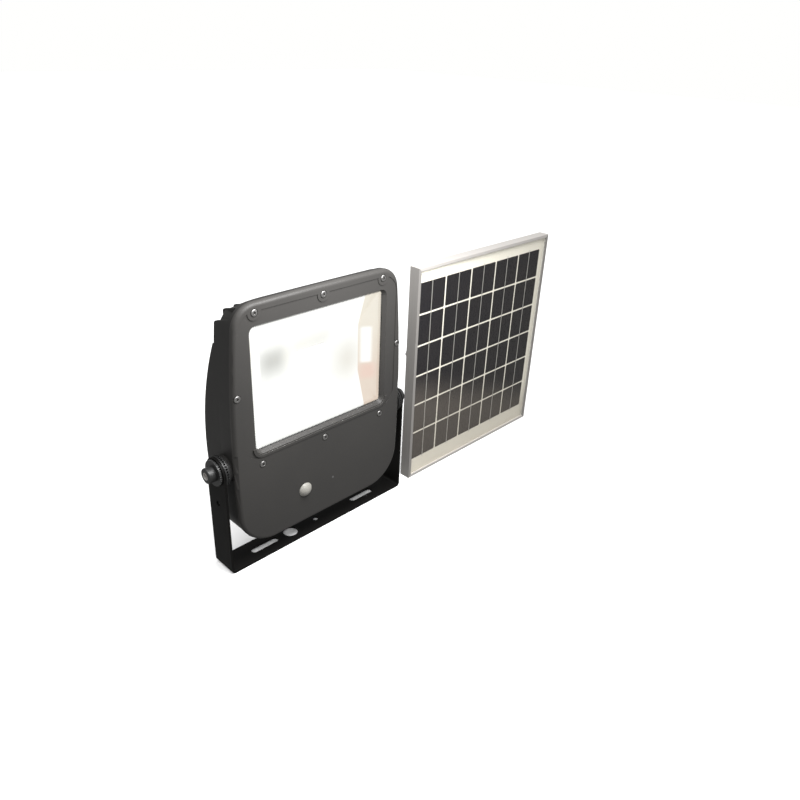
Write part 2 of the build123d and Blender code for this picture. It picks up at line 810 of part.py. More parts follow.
cell_y = tray_floor - tray_sheet - cell_diameter / 2


def build_battery_cells():
    """Eight round lithium cells lying along X, four in each stack."""
    cells = []
    for side in (-1, 1):
        x = side * stack_x
        for z in stack_centres():
            can = rod_x(cell_diameter / 2, x - cell_length / 2, x + cell_length / 2 - 1, cell_y, z)
            cells.append(can + rod_x(3.2, x + cell_length / 2 - 1, x + cell_length / 2, cell_y, z))
    return cells


def build_battery_trays():
    """Two moulded trays with end walls, which hold the cells."""
    trays = []
    low = stack_centres()[0] - cell_pitch / 2
    high = stack_centres()[-1] + cell_pitch / 2
    for side in (-1, 1):
        x0 = side * stack_x - cell_length / 2
        x1 = side * stack_x + cell_length / 2
        front = cell_y - cell_diameter / 2
        tray = block(x0 - tray_sheet, x1 + tray_sheet, tray_floor - tray_sheet, tray_floor, low, high)
        tray += block(x0 - tray_sheet, x0, front, tray_floor, low, high)
        tray += block(x1, x1 + tray_sheet, front, tray_floor, low, high)
        trays.append(tray)
    return trays


def build_battery_straps():
    """Two sheet-metal straps over the stacks, with feet on the housing's floor."""
    straps = []
    low = stack_centres()[0] - cell_pitch / 2 - 0.4
    high = stack_centres()[-1] + cell_pitch / 2 + 0.4
    front = cell_y - cell_diameter / 2 - strap_sheet
    for side in (-1, 1):
        x0 = side * stack_x - strap_bar / 2
        x1 = side * stack_x + strap_bar / 2
        strap = block(x0, x1, front, front + strap_sheet, low - strap_sheet, high + strap_sheet)
        strap += block(x0, x1, front, tray_floor, low - strap_sheet, low)
        strap += block(x0, x1, front, tray_floor, high, high + strap_sheet)
        straps.append(strap)
    return straps


def board_posts():
    """Where four screws hold the control board."""
    x = board_width / 2 - standoff_inset
    z = board_height / 2 - standoff_inset
    return [(board_x + side * x, board_z + up * z) for side in (-1, 1) for up in (-1, 1)]


def build_control_board():
    """Charge-control and driver circuit board."""
    outline = Pos(board_x, board_z) * Rectangle(board_width, board_height)
    board = plate(outline, board_front, board_back)
    for x, z in board_posts():
        board -= rod_y(small_screw / 2, board_front - 1, board_back + 1, x, z)
    return board


def build_board_components():
    """Coil, capacitors, chips and terminal block soldered to the board."""
    parts = [
        block(board_x + 10, board_x + 24, board_front - 7, board_front, board_z + 8, board_z + 22),
        block(board_x - 6, board_x + 4, board_front - 1.6, board_front, board_z + 2, board_z + 12),
        block(board_x - 30, board_x - 2, board_front - 8, board_front, board_z + 20, board_z + 29),
        block(board_x + 4, board_x + 12, board_front - 1.4, board_front, board_z - 24, board_z - 18),
    ]
    for step in range(3):
        parts.append(rod_y(4.0, board_front - 9, board_front, board_x + 12 + step * 9.5, board_z - 8))
    return parts


def build_board_screws():
    """Four pan-head screws of the control board."""
    screws = []
    for x, z in board_posts():
        head = rod_y(small_screw_head / 2, board_front - small_screw_head_height, board_front, x, z)
        screws.append(head + rod_y(small_screw / 2, board_front, board_front + 8, x, z))
    return screws


def build_sensor_can():
    """Passive infrared sensor in its metal can, on the control board's spacer."""
    spacer = block(sensor_x - 6, sensor_x + 6, board_front - 2.5, board_front, sensor_z - 6, sensor_z + 6)
    return spacer + rod_y(sensor_can / 2, board_front - 2.5 - sensor_can_height, board_front, sensor_x, sensor_z)


sensor_flange_front = cover_front + cover_wall


def build_sensor_lens():
    """Milky domed lens of the motion sensor, standing out of the front cover."""
    radius = sensor_lens / 2
    ball = (radius ** 2 + sensor_lens_bulge ** 2) / (2 * sensor_lens_bulge)
    centre = cover_front - sensor_lens_bulge + ball
    wall = 1.2
    dome = Pos(sensor_x, centre, sensor_z) * Sphere(ball)
    dome &= rod_y(radius, cover_front - sensor_lens_bulge - 1, cover_front, sensor_x, sensor_z)
    lens = dome + rod_y(radius, cover_front, sensor_flange_front, sensor_x, sensor_z)
    flange_back = sensor_flange_front + sensor_flange_thickness
    lens += rod_y(sensor_flange / 2, sensor_flange_front, flange_back, sensor_x, sensor_z)
    hollow = Pos(sensor_x, centre, sensor_z) * Sphere(ball - wall)
    hollow &= rod_y(radius - wall, cover_front - sensor_lens_bulge, cover_front, sensor_x, sensor_z)
    return lens - hollow - rod_y(radius - wall, cover_front, flange_back + 1, sensor_x, sensor_z)


def build_sensor_ring():
    """Push-on ring that holds the sensor lens from behind."""
    start = sensor_flange_front + sensor_flange_thickness
    ring = rod_y(sensor_flange / 2, start, start + sensor_ring_thickness, sensor_x, sensor_z)
    return ring - rod_y(sensor_lens / 2 - 1, start - 1, start + sensor_ring_thickness + 1, sensor_x, sensor_z)


def build_indicator():
    """Light pipe from the board to a small dot in the front cover."""
    pipe = rod_y(indicator / 2, cover_front, board_front, indicator_x, indicator_z)
    return pipe


def build_gland_body():
    """Cable gland screwed through the housing's back: thread, hexagon and clamping neck."""
    hex_end = tray_back + gland_hex_depth
    body = rod_y(gland_thread / 2, tray_floor - gland_nut_depth - 1, tray_back, gland_x, gland_z)
    body += hexagon_y(gland_hex, tray_back, hex_end, gland_x, gland_z)
    body += rod_y(gland_thread / 2, hex_end, hex_end + 6, gland_x, gland_z)
    return body - rod_y(gland_bore / 2 + 1.5, tray_floor - 10, hex_end + 7, gland_x, gland_z)


def build_gland_seal():
    """Rubber sleeve of the gland, round the cable's way in."""
    start = tray_back + gland_hex_depth - 2
    end = tray_back + gland_hex_depth + 6
    sleeve = rod_y(gland_bore / 2 + 1.5, start, end, gland_x, gland_z)
    return sleeve - rod_y(gland_bore / 2, start - 1, end + 1, gland_x, gland_z)


def build_gland_cap():
    """Domed clamping nut of the gland."""
    start = tray_back + gland_hex_depth
    end = start + gland_dome_length
    cap = hexagon_y(gland_hex - 1, start, start + 7, gland_x, gland_z)
    cap += rod_y(gland_hex / 2 - 1, start + 7, end, gland_x, gland_z)
    cap = fillet(cap.edges().group_by(Axis.Y)[-1], 3.0)
    cap -= rod_y(gland_thread / 2, start - 1, start + 6, gland_x, gland_z)
    return cap - rod_y(gland_bore / 2, start, end + 1, gland_x, gland_z)


def build_gland_nut():
    """Lock nut of the gland, inside the housing."""
    nut = hexagon_y(gland_hex, tray_floor - gland_nut_depth, tray_floor, gland_x, gland_z)
    return nut - rod_y(gland_thread / 2, tray_floor - 10, tray_floor + 1, gland_x, gland_z)


def build_vent_plug():
    """Pressure-balancing plug with a membrane, screwed into the housing's back."""
    plug = rod_y(vent_cap / 2, tray_back, tray_back + vent_cap_depth, vent_x, gland_z)
    plug = fillet(plug.edges().group_by(Axis.Y)[-1], 1.2)
    plug += rod_y(vent_thread / 2, tray_floor, tray_back, vent_x, gland_z)
    return plug


# ---- solar panel body ----
def panel_frame(inset, width, y0, y1):
    """Rectangular ring inside the panel's outline."""
    z_mid = panel_height / 2
    outer = Pos(panel_middle, z_mid) * Rectangle(panel_width - 2 * inset, panel_height - 2 * inset)
    reach = inset + width
    inner = Pos(panel_middle, z_mid) * Rectangle(panel_width - 2 * reach, panel_height - 2 * reach)
    return plate(outer - inner, y0, y1)


def build_rails():
    """Four aluminium extrusions, mitred at the corners: lip, wall, shelf and back flange."""
    ring = panel_frame(0, rail_wall, panel_front, panel_back)
    ring += panel_frame(rail_wall, rail_lip - rail_wall, panel_front, laminate_front)
    ring += panel_frame(rail_wall, rail_shelf - rail_wall, shelf_front, shelf_front + rail_shelf_wall)
    ring += panel_frame(rail_wall, rail_flange - rail_wall, panel_back - rail_flange_wall, panel_back)
    for x, z in frame_hole_places():
        ring -= rod_y(frame_hole / 2, panel_back - 2 * rail_flange_wall, panel_back + 1, x, z)
    for x, z in crossbar_bolt_places():
        ring -= rod_y(crossbar_bolt / 2, panel_back - 2 * rail_flange_wall, panel_back + 1, x, z)
    reach = rail_flange + 1
    low_left = (panel_left - 1, -1)
    low_right = (panel_right + 1, -1)
    high_right = (panel_right + 1, panel_height + 1)
    high_left = (panel_left - 1, panel_height + 1)
    in_low_left = (panel_left + reach, reach)
    in_low_right = (panel_right - reach, reach)
    in_high_right = (panel_right - reach, panel_height - reach)
    in_high_left = (panel_left + reach, panel_height - reach)
    wedges = {
        "panel_rail_bottom": (low_left, low_right, in_low_right, in_low_left),
        "panel_rail_right": (low_right, high_right, in_high_right, in_low_right),
        "panel_rail_top": (high_right, high_left, in_high_left, in_high_right),
        "panel_rail_left": (high_left, low_left, in_low_left, in_high_left),
    }
    rails = {}
    for name, corners in wedges.items():
        wedge = plate(make_face(Polyline(*corners, close=True)), panel_front - 1, panel_back + 1)
        rails[name] = ring & wedge
    return rails


def frame_hole_places():
    """Mounting holes in the back flanges of the two upright rails."""
    inset = (rail_wall + rail_flange) / 2
    heights = (frame_hole_from_ends, panel_height - frame_hole_from_ends)
    return [(x, z) for x in (panel_left + inset, panel_right - inset) for z in heights]


def build_corner_keys():
    """Four angle pieces pressed into the rails at the corners."""
    keys = []
    front = shelf_front + rail_shelf_wall
    back = panel_back - rail_flange_wall
    for x, side_x in ((panel_left + rail_wall, 1), (panel_right - rail_wall, -1)):
        for z, side_z in ((rail_wall, 1), (panel_height - rail_wall, -1)):
            x_leg = sorted((x, x + side_x * corner_key_leg))
            z_leg = sorted((z, z + side_z * corner_key_leg))
            x_thin = sorted((x, x + side_x * corner_key_width))
            z_thin = sorted((z, z + side_z * corner_key_width))
            key = block(x_leg[0], x_leg[1], front, back, z_thin[0], z_thin[1])
            keys.append(key + block(x_thin[0], x_thin[1], front, back, z_leg[0], z_leg[1]))
    return keys


def laminate(y0, y1):
    """One full layer of the panel's laminate."""
    inset = rail_wall + laminate_room
    return block(panel_left + inset, panel_right - inset, y0, y1, inset, panel_height - inset)


def cell_places():
    """Middle of each solar cell."""
    first_x = panel_left + cell_field_left + (column_pitch - cell_gap) / 2
    first_z = cell_field_bottom + (row_pitch - cell_gap) / 2
    return [(first_x + column * column_pitch, first_z + row * row_pitch)
            for column in range(cell_columns) for row in range(cell_rows)]


def build_solar_cells():
    """Thirty silicon cells with clipped corners."""
    outline = Rectangle(column_pitch - cell_gap, row_pitch - cell_gap)
    outline = chamfer(outline.vertices(), cell_chamfer)
    return [plate(Pos(x, z) * outline, cell_front, cell_back) for x, z in cell_places()]


def build_ribbons():
    """One flat solder ribbon down the middle of each column of cells."""
    low = cell_field_bottom - ribbon_overhang
    high = cell_field_bottom + cell_rows * row_pitch - cell_gap + ribbon_overhang
    columns = sorted({x for x, z in cell_places()})
    return [block(x - ribbon_width / 2, x + ribbon_width / 2, ribbon_front, cell_front, low, high)
            for x in columns]


def build_encapsulant():
    """Clear film that fills the layer of the cells, between the glass and the backsheet."""
    film = laminate(ribbon_front, cell_back)
    return film - build_solar_cells() - build_ribbons()


def build_sealant():
    """Silicone bead between the laminate and the frame."""
    bead = panel_frame(rail_wall, laminate_room, laminate_front, shelf_front)
    under = panel_frame(rail_wall, rail_shelf - rail_wall, backsheet_back, shelf_front)
    return bead + under


def junction_screw_places():
    """Four screw places in the corners of the junction box."""
    x = junction_width / 2 - 5
    z = junction_height / 2 - 5
    return [(panel_middle + side * x, junction_rise + up * z) for side in (-1, 1) for up in (-1, 1)]


junction_back = backsheet_back + junction_depth


def build_junction_box():
    """Open plastic box glued to the backsheet, with corner pillars."""
    outline = Pos(panel_middle, junction_rise) * RectangleRounded(junction_width, junction_height, 4)
    inner = Pos(panel_middle, junction_rise) * RectangleRounded(
        junction_width - 2 * junction_wall, junction_height - 2 * junction_wall, 2.5)
    box = plate(outline, backsheet_back, junction_back)
    box -= plate(inner, backsheet_back + junction_wall, junction_back + 1)
    for x, z in junction_screw_places():
        box += rod_y(3.2, backsheet_back, junction_back, x, z)
        box -= rod_y(1.2, backsheet_back + 3, junction_back + 1, x, z)
    low = junction_rise - junction_height / 2
    middle_y = backsheet_back + junction_depth / 2
    way_in = Pos(panel_middle, middle_y, low) * Cylinder(junction_gland / 2 - 2, 4 * junction_wall)
    return box - way_in


def build_junction_lid():
    """Lid of the junction box."""
    outline = Pos(panel_middle, junction_rise) * RectangleRounded(junction_width, junction_height, 4)
    lid = plate(outline, junction_back, junction_back + junction_lid_thickness)
    for x, z in junction_screw_places():
        lid -= rod_y(1.2, junction_back - 1, junction_back + 5, x, z)
        lid -= rod_y(2.3, junction_back + 0.8, junction_back + 5, x, z)
    return lid


def build_junction_screws():
    """Four small countersunk screws of the lid."""
    screws = []
    for x, z in junction_screw_places():
        head = rod_y(2.2, junction_back + 0.8, junction_back + junction_lid_thickness, x, z)
        screws.append(head + rod_y(1.2, backsheet_back + 3.5, junction_back + 0.8, x, z))
    return screws


def build_junction_gland():
    """Small gland on the junction box's lower edge, where the panel's lead would leave."""
    low = junction_rise - junction_height / 2
    middle_y = backsheet_back + junction_depth / 2
    neck = Pos(panel_middle, middle_y, low - junction_gland_length / 2) * Cylinder(
        junction_gland / 2 - 0.8, junction_gland_length)
    stem = Pos(panel_middle, middle_y, low + junction_wall / 2) * Cylinder(junction_gland / 2 - 2, junction_wall)
    bore = Pos(panel_middle, middle_y, low) * Cylinder(1.8, 4 * junction_gland_length)
    return neck + stem - bore


# ---- folding stay ----
ear_inner = stay_width / 2 + stay_side_gap


def crossbar_bolt_places():
    """Where the crossbar is bolted to the back flanges of the upright rails."""
    inset = (rail_wall + rail_flange) / 2
    return [(panel_left + inset, stay_rise), (panel_right - inset, stay_rise)]


def build_crossbar():
    """Flat bar across the panel's back, with two ears bent out of it for the stay."""
    low = stay_rise - crossbar_height / 2
    high = stay_rise + crossbar_height / 2
    bar = block(panel_left + crossbar_end_gap, panel_right - crossbar_end_gap, panel_back, crossbar_back, low, high)
    for side in (-1, 1):
        near = panel_middle + side * ear_inner
        far = panel_middle + side * (ear_inner + ear_sheet)
        ear = block(min(near, far), max(near, far), crossbar_back - 1, stay_axle_y,
                    stay_rise - ear_radius, stay_rise + ear_radius)
        ear += rod_x(ear_radius, near, far, stay_axle_y, stay_rise)
        bar += ear
    reach = ear_inner + ear_sheet + 1
    bar -= rod_x(stay_axle / 2, panel_middle - reach, panel_middle + reach, stay_axle_y, stay_rise)
    for x, z in crossbar_bolt_places():
        bar -= rod_y(crossbar_bolt / 2, panel_back - 1, crossbar_back + 1, x, z)
    return bar


def build_crossbar_bolts():
    """Two bolts through the crossbar and the rails' back flanges, with their heads outside."""
    bolts = []
    for x, z in crossbar_bolt_places():
        head = hexagon_y(crossbar_bolt_flats, crossbar_back, crossbar_back + crossbar_bolt_head, x, z)
        tip = panel_back - rail_flange_wall - crossbar_bolt_tail
        bolts.append(head + rod_y(crossbar_bolt / 2, tip, crossbar_back, x, z))
    return bolts


def build_crossbar_nuts():
    """Two nuts on those bolts, inside the rails."""
    nuts = []
    for x, z in crossbar_bolt_places():
        back = panel_back - rail_flange_wall
        nut = hexagon_y(crossbar_bolt_flats, back - crossbar_bolt_head, back, x, z)
        nuts.append(nut - rod_y(crossbar_bolt / 2, back - 2 * crossbar_bolt_head, back + 1, x, z))
    return nuts


def build_stay_bolt():
    """Bolt on which the stay swings."""
    left = panel_middle - ear_inner - ear_sheet
    right = panel_middle + ear_inner + ear_sheet
    bolt = rod_x(stay_axle / 2, left, right + wing_hub_length + 1, stay_axle_y, stay_rise)
    return bolt + hexagon_x(stay_bolt_flats, left - stay_bolt_head, left, stay_axle_y, stay_rise)


def build_wing_nut():
    """Wing nut that clamps the stay at its angle."""
    start = panel_middle + ear_inner + ear_sheet
    hub = rod_x(wing_hub / 2, start, start + wing_hub_length, stay_axle_y, stay_rise)
    wing_x = start + wing_hub_length / 2
    hub += block(wing_x - wing_sheet / 2, wing_x + wing_sheet / 2, stay_axle_y - wing_width / 2,
                 stay_axle_y + wing_width / 2, stay_rise - wing_reach, stay_rise + wing_reach)
    return hub - rod_x(stay_axle / 2, start - 1, start + wing_hub_length + 1, stay_axle_y, stay_rise)


def build_stay():
    """Folded channel with a foot plate bent out at its lower end."""
    half = stay_width / 2
    web_back = stay_axle_y + stay_tip_radius
    low = stay_rise - stay_length
    stay = block(panel_middle - half, panel_middle + half, web_back - stay_sheet, web_back, low, stay_rise - 8)
    for side in (-1, 1):
        outer = panel_middle + side * half
        inner = panel_middle + side * (half - stay_sheet)
        x0, x1 = sorted((outer, inner))
        cheek = block(x0, x1, stay_axle_y - stay_tip_radius, web_back, low, stay_rise)
        cheek += rod_x(stay_tip_radius, x0, x1, stay_axle_y, stay_rise)
        stay += cheek
    foot = block(panel_middle - half, panel_middle + half, web_back - stay_sheet, web_back + stay_foot,
                 low, low + stay_sheet)
    stay += foot
    bore = stay_axle / 2 + stay_running
    stay -= rod_x(bore, panel_middle - half - 1, panel_middle + half + 1, stay_axle_y, stay_rise)
    for side in (-1, 1):
        spot = Pos(panel_middle + side * stay_foot_hole_spacing / 2, web_back + stay_foot / 2 + 3, low)
        stay -= spot * Cylinder(stay_foot_hole / 2, 4 * stay_sheet)
    return stay


def save(name, shape):
    """Write one piece, or a group of like pieces, as a STEP file."""
    solids = []
    for item in shape if isinstance(shape, (list, tuple)) else [shape]:
        solids.extend(item.solids())
    result = solids[0] if len(solids) == 1 else Compound(children=solids)
    export_step(result, "parts/" + name + ".step")


pieces = {
    "u_bracket": build_bracket,
    "arm_tooth_discs": build_arm_discs,
    "lamp_tooth_discs": build_lamp_discs,
    "pivot_bolts": build_pivot_bolts,
    "pivot_washers": build_pivot_washers,
    "front_cover": build_front_cover,
    "cover_screws": build_cover_screws,
    "body_gasket": build_body_gasket,
    "rear_housing": build_rear_housing,
    "cooling_fins": build_fins,
    "window_glass": build_window_glass,
    "glass_gasket": build_glass_gasket,
    "reflector": build_reflector,
    "reflector_screws": build_reflector_screws,
    "led_chip": build_led_chip,
    "led_glow": build_led_glow,
    "led_board": build_led_board,
    "led_screws": build_led_screws,
    "thermal_pad": build_thermal_pad,
    "battery_cells": build_battery_cells,
    "battery_trays": build_battery_trays,
    "battery_straps": build_battery_straps,
    "control_board": build_control_board,
    "board_components": build_board_components,
    "board_screws": build_board_screws,
    "sensor_can": build_sensor_can,
    "sensor_lens": build_sensor_lens,
    "sensor_ring": build_sensor_ring,
    "indicator_pipe": build_indicator,
    "gland_body": build_gland_body,
    "gland_seal": build_gland_seal,
    "gland_cap": build_gland_cap,
    "gland_nut": build_gland_nut,
    "vent_plug": build_vent_plug,
    "corner_keys": build_corner_keys,
    "panel_glass": lambda: laminate(laminate_front, ribbon_front),
    "solar_cells": build_solar_cells,
    "cell_ribbons": build_ribbons,
    "encapsulant": build_encapsulant,
    "backsheet": lambda: laminate(cell_back, backsheet_back),
    "panel_sealant": build_sealant,
    "junction_box": build_junction_box,
    "junction_lid": build_junction_lid,
    "junction_screws": build_junction_screws,
    "junction_gland": build_junction_gland,
    "stay_crossbar": build_crossbar,
    "crossbar_bolts": build_crossbar_bolts,
    "crossbar_nuts": build_crossbar_nuts,
    "stay_bolt": build_stay_bolt,
    "stay_wing_nut": build_wing_nut,
    "panel_stay": build_stay,
}

os.makedirs("parts", exist_ok=True)
for piece_name, build in pieces.items():
    save(piece_name, build())
for piece_name, rail in build_rails().items():
    save(piece_name, rail)
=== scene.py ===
from math import pi, radians

import bmesh
import bpy
from mathutils import Matrix, Vector


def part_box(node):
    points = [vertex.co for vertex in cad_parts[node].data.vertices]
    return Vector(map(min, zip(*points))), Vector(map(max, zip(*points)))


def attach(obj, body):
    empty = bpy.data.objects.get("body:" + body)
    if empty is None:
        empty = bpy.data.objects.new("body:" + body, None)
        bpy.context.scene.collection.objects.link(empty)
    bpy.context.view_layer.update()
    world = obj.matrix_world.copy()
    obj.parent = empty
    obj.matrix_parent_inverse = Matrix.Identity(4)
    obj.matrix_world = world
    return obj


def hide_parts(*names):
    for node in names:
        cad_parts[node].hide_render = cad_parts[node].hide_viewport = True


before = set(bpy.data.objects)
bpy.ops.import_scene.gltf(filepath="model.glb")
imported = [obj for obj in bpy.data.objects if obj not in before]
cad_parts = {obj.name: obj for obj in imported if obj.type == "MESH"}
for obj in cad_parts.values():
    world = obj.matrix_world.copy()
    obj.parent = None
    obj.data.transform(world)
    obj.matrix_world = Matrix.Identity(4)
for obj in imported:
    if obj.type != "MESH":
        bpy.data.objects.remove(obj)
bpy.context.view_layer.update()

# ---- Studio: camera ----
# A standing viewer's camera, left of the lamp and looking slightly down on it.
# A 36 mm wide sensor behind a moderately wide lens.
camera_data = bpy.data.cameras.new("studio_camera")
camera_data.lens = 31.8
camera_data.sensor_width = 36.0
camera = bpy.data.objects.new("studio_camera", camera_data)
camera.location = (-0.5084, -0.6430, 0.6236)
camera.rotation_euler = (radians(62.345), radians(-2.257), radians(-45.087))
bpy.context.scene.collection.objects.link(camera)
bpy.context.scene.camera = camera
bpy.context.scene.view_settings.view_transform = "Standard"


# ---- Studio: light and floor ----
# A wide soft light overhead, a small soft box over the lamp's front, and a pale room and floor.
# The room looks white but lights the lamp dimly, and the floor throws no light back, so that
# black paint stays black.
sky_data = bpy.data.lights.new("overhead_light", "SUN")
sky_data.energy = 3.2
sky_data.angle = radians(75)
sky = bpy.data.objects.new("overhead_light", sky_data)
sky.rotation_euler = (radians(5), radians(-10), 0.0)
bpy.context.scene.collection.objects.link(sky)

box_data = bpy.data.lights.new("front_soft_box", "AREA")
box_data.size = 0.26
box_data.energy = 4.8
box_place = Vector((0.03, -0.22, 0.54))
box_aim = Vector((0.0, 0.0, 0.28))
box_light = bpy.data.objects.new("front_soft_box", box_data)
box_light.location = box_place
box_light.rotation_euler = (box_aim - box_place).to_track_quat("-Z", "Y").to_euler()
box_light.visible_camera = False
bpy.context.scene.collection.objects.link(box_light)

room_fill = 0.42
room = bpy.data.worlds.new("pale_room")
room.use_nodes = True
room_light = room.node_tree.nodes["Background"]
room_light.inputs["Color"].default_value = (1.0, 1.0, 0.99, 1.0)
backdrop = room.node_tree.nodes.new("ShaderNodeMapRange")
backdrop.inputs["To Min"].default_value = room_fill
backdrop.inputs["To Max"].default_value = 1.0
seen = room.node_tree.nodes.new("ShaderNodeLightPath")
room.node_tree.links.new(seen.outputs["Is Camera Ray"], backdrop.inputs["Value"])
room.node_tree.links.new(backdrop.outputs["Result"], room_light.inputs["Strength"])
bpy.context.scene.world = room


class Wire:
    """One shader output. Python arithmetic on it adds Math nodes."""

    def __init__(self, finish, socket):
        self.finish = finish
        self.socket = socket

    def math(self, operation, *numbers):
        return self.finish.node("ShaderNodeMath", {"operation": operation}, *numbers)

    def __add__(self, other):
        return self.math("ADD", self, other)

    def __radd__(self, other):
        return self.math("ADD", other, self)

    def __sub__(self, other):
        return self.math("SUBTRACT", self, other)

    def __rsub__(self, other):
        return self.math("SUBTRACT", other, self)

    def __mul__(self, other):
        return self.math("MULTIPLY", self, other)

    def __rmul__(self, other):
        return self.math("MULTIPLY", other, self)

    def __gt__(self, other):
        return self.math("GREATER_THAN", self, other)

    def __lt__(self, other):
        return self.math("LESS_THAN", self, other)

    def part(self, name):
        """Another output of the same node."""
        return Wire(self.finish, self.socket.node.outputs[name])


class Finish:
    """A material with one Principled shader, whose sockets take numbers, colours or wires."""

    def __init__(self, name, **fixed):
        self.material = bpy.data.materials.new(name)
        self.material.use_nodes = True
        self.tree = self.material.node_tree
        self.shader = self.tree.nodes["Principled BSDF"]
        self.set(**fixed)
        self.place = self.node("ShaderNodeTexCoord", {}).part("Object")

    def node(self, kind, settings, *numbered, **named):
        """Add a node: its settings first, then its sockets by number or by name."""
        made = self.tree.nodes.new(kind)
        for key, value in settings.items():
            setattr(made, key, value)
        for index, value in enumerate(numbered):
            self.feed(made.inputs[index], value)
        for key, value in named.items():
            self.feed(made.inputs[key.replace("_", " ")], value)
        return Wire(self, next(socket for socket in made.outputs if socket.enabled))

    def feed(self, socket, value):
        """Link a wire to a socket, or write a value on it."""
        if isinstance(value, Wire):
            self.tree.links.new(value.socket, socket)
        elif value is not None:
            socket.default_value = value

    def set(self, **sockets):
        """Feed the Principled shader's sockets."""
        for key, value in sockets.items():
            self.feed(self.shader.inputs[key.replace("_", " ")], value)
        return self

    def noise(self, scale, detail=3.0, place=None):
        """Cloudy variation between 0 and 1; scale is in features per metre."""
        return self.node("ShaderNodeTexNoise", {}, Vector=place or self.place, Scale=scale, Detail=detail)

    def mix(self, factor, low, high):
        """Blend two colours."""
        made = self.node("ShaderNodeMix", {"data_type": "RGBA"})
        inputs = made.socket.node.inputs
        self.feed(inputs[0], factor)
        self.feed(inputs[6], low)
        self.feed(inputs[7], high)
        return made

    def bump(self, height, distance, strength=1.0):
        """Relief from a height between 0 and 1."""
        relief = self.node("ShaderNodeBump", {}, Height=height, Distance=distance, Strength=strength)
        return self.set(Normal=relief)

    def axes(self):
        """The three coordinates as separate wires."""
        split = self.node("ShaderNodeSeparateXYZ", {}, Vector=self.place)
        return split.part("X"), split.part("Y"), split.part("Z")

    def stretched(self, x, y, z):
        """Object coordinates scaled along each axis, for grain that runs one way."""
        return self.node("ShaderNodeMapping", {}, Vector=self.place, Scale=(x, y, z))


def grey(level, warmth=0.0):
    """A nearly neutral colour; warmth moves it towards yellow."""
    return (level * (1 + warmth), level, level * (1 - warmth), 1.0)


floor_finish = Finish("studio_floor", Roughness=0.9, Specular_IOR_Level=0.1)
floor_finish.set(Base_Color=floor_finish.mix(floor_finish.noise(6.0), grey(0.95), grey(0.97)))
floor_shape = bmesh.new()
bmesh.ops.create_grid(floor_shape, x_segments=1, y_segments=1, size=9.0)
floor_mesh = bpy.data.meshes.new("studio_floor")
floor_shape.to_mesh(floor_mesh)
floor_mesh.materials.append(floor_finish.material)
floor = bpy.data.objects.new("studio_floor", floor_mesh)
bpy.context.scene.collection.objects.link(floor)
floor.visible_diffuse = False
floor.visible_glossy = False


# ---- U-bracket ----
# A steel strap folded into a U, punched with slots and holes, and powder coated satin black.
# It stands on the ground or is bolted to a wall, and everything of the lamp hangs from its arms.
def add_piece(name, shape, material, body, hides=(), smooth=True):
    """Turn a bmesh into a piece that rides on a body and stands for CAD nodes."""
    mesh = bpy.data.meshes.new(name)
    shape.to_mesh(mesh)
    shape.free()
    mesh.materials.append(material)
    if smooth:
        mesh.shade_smooth()
    piece = bpy.data.objects.new(name, mesh)
    bpy.context.scene.collection.objects.link(piece)
    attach(piece, body)
    if hides:
        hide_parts(*hides)
    return piece


def soften(piece, edge, segments=2):
    """Round every sharp edge a little, as a coating or a casting does, and keep flats flat."""
    rounding = piece.modifiers.new("rounded_edges", "BEVEL")
    rounding.width = edge
    rounding.segments = segments
    rounding.limit_method = "ANGLE"
    rounding.angle_limit = radians(32)
    flats = piece.modifiers.new("flat_shading", "WEIGHTED_NORMAL")
    flats.weight = 100
    return piece


def welded(node):
    """A closed copy of a CAD piece's mesh, with its flat faces joined up."""
    shape = bmesh.new()
    shape.from_mesh(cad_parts[node].data)
    bmesh.ops.remove_doubles(shape, verts=shape.verts, dist=2e-6)
    bmesh.ops.dissolve_limit(shape, angle_limit=radians(0.2), verts=shape.verts, edges=shape.edges)
    return shape


def rounded_copy(node, material, body, edge, segments=2):
    """The CAD piece with rounded edges and its finish."""
    piece = add_piece(node + "_finished", welded(node), material, body, hides=(node,))
    return soften(piece, edge, segments)


def powder_coat(name, tone, gloss, roughness, grain):
    """Baked powder paint: fine orange peel, slow clouds of gloss and a little settled dust."""
    coat = Finish(name, Specular_IOR_Level=gloss)
    clouds = coat.noise(9.0, 4.0)
    dust = coat.noise(55.0, 6.0)
    speck = (coat.noise(700.0, 2.0) > 0.68) * 0.35
    shade = coat.mix(clouds, grey(tone * 0.85, 0.03), grey(tone * 1.15, 0.05))
    coat.set(Base_Color=coat.mix(dust * speck, shade, grey(tone * 2.4, 0.05)))
    coat.set(Roughness=roughness + clouds * 0.1 + dust * 0.08 - 0.09)
    coat.bump(coat.noise(1500.0, 2.0) + coat.noise(260.0, 2.0) * 0.5, grain, 0.5)
    return coat.material


bracket_paint = powder_coat("bracket_paint", 0.005, 0.06, 0.5, 0.00006)
rounded_copy("u_bracket", bracket_paint, "bracket", 0.0005, 3)


# ---- Tilt pivot: toothed discs, washers and bolts ----
# Black discs with radial teeth lock the lamp's angle when the two socket bolts are tightened.
# The washers have knurled rims, and the bolts' sockets are given a bright steel colour.
def node_finish(material, *nodes):
    """Give CAD pieces that are shown as they are their finish."""
    for name in nodes:
        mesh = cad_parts[name].data
        mesh.materials.clear()
        mesh.materials.append(material)


